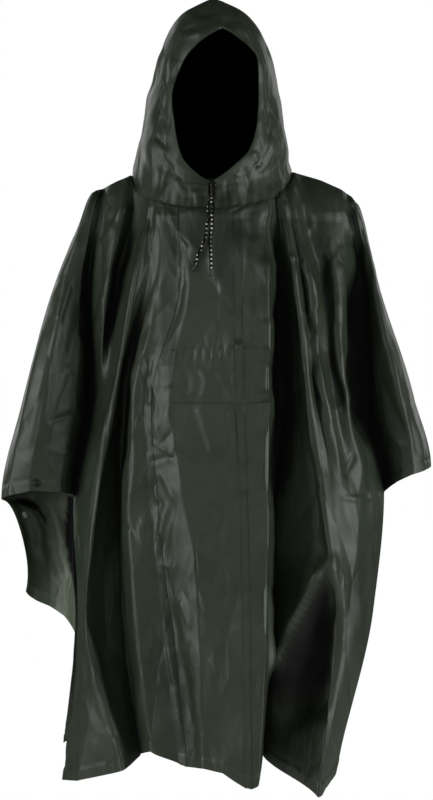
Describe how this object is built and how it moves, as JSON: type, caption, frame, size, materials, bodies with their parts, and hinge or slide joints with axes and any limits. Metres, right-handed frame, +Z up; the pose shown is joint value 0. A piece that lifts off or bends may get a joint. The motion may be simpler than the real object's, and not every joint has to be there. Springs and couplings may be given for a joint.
{
  "type": "rain poncho",
  "caption": "Hooded rain poncho in its worn, hollow shape, with short wide sleeves, a corded face opening, a front flap pocket and snaps at the open side.",
  "frame": {"origin": "middle of the shoulder line, where the wearer's shoulders hold the garment up", "axes": "+Z up along the body, -Y towards the garment's front, +X towards the wearer's left"},
  "size_m": [0.705, 0.3586, 1.2806],
  "materials": {
    "front_nylon": "coated, low sheen",
    "back_nylon": "coated, low sheen",
    "hood_right_nylon": "coated, low sheen",
    "hood_left_nylon": "coated, low sheen",
    "casing_nylon": "coated, low sheen",
    "pocket_nylon": "coated, low sheen",
    "flap_nylon": "coated, low sheen",
    "seam_right_nylon": "coated, low sheen",
    "seam_left_nylon": "coated, low sheen",
    "cord_polyester": "braided",
    "cord_polyester_left": "braided",
    "tip_plastic": "satin",
    "tip_plastic_left": "satin",
    "snap_cap_enamel": "gloss enamel",
    "snap_stud_steel": "plain",
    "side_snap_enamel": "gloss enamel"
  },
  "bodies": {
    "root": {"front_panel": "front_nylon", "back_panel": "back_nylon", "hood_right": "hood_right_nylon", "hood_left": "hood_left_nylon", "face_casing": "casing_nylon", "pocket": "pocket_nylon", "pocket_flap": "flap_nylon", "front_seam_right": "seam_right_nylon", "front_seam_left": "seam_left_nylon", "drawcord_right": "cord_polyester", "drawcord_left": "cord_polyester_left", "cord_tip_right": "tip_plastic", "cord_tip_left": "tip_plastic_left", "cuff_snap_cap": "snap_cap_enamel", "cuff_snap_stud": "snap_stud_steel", "side_snap_cap": "side_snap_enamel"}
  },
  "joints": []
}
